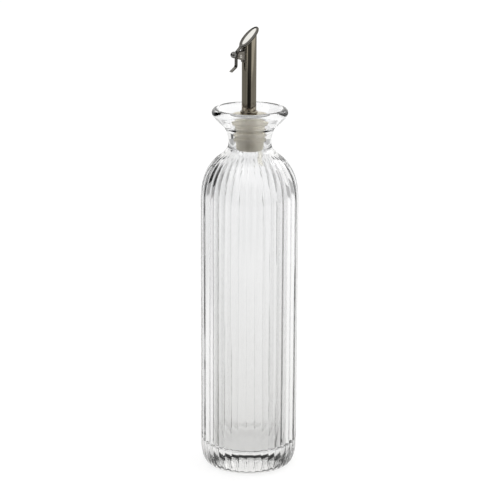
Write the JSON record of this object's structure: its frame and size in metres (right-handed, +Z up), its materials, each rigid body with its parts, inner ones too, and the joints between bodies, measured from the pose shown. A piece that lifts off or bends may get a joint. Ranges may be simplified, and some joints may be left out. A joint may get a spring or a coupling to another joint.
{
  "type": "glass cruet",
  "caption": "Tall ribbed clear glass bottle with a flared mouth, a ringed stopper and a slanted steel pouring spout closed by a weighted swinging lid.",
  "frame": {"origin": "middle of the glass foot, on the surface the bottle stands on", "axes": "+Z up along the bottle, -X towards the lid's hinge"},
  "size_m": [0.065, 0.065, 0.2987],
  "materials": {
    "clear_glass": "clear, polished",
    "milky_plastic": "milky, half see-through",
    "pale_tube": "milky, half see-through",
    "spout_steel": "satin, warm grey",
    "bracket_steel": "satin, dark",
    "pin_steel": "satin",
    "lid_steel": "polished, dark",
    "weight_steel": "polished, dark"
  },
  "bodies": {
    "cruet": {"bottle": "clear_glass", "stopper": "milky_plastic", "air_tube": "pale_tube", "spout_tube": "spout_steel", "hinge_bracket": "bracket_steel", "hinge_pin": "pin_steel"},
    "lid": {"lid_flap": "lid_steel", "counterweight": "weight_steel"}
  },
  "joints": [
    {"name": "lid_hinge", "type": "hinge", "parent": "cruet", "child": "lid", "pos_m": [-0.0085, 0, 0.2805], "axis": [0, -1, 0], "range_deg": [0, 36]}
  ]
}
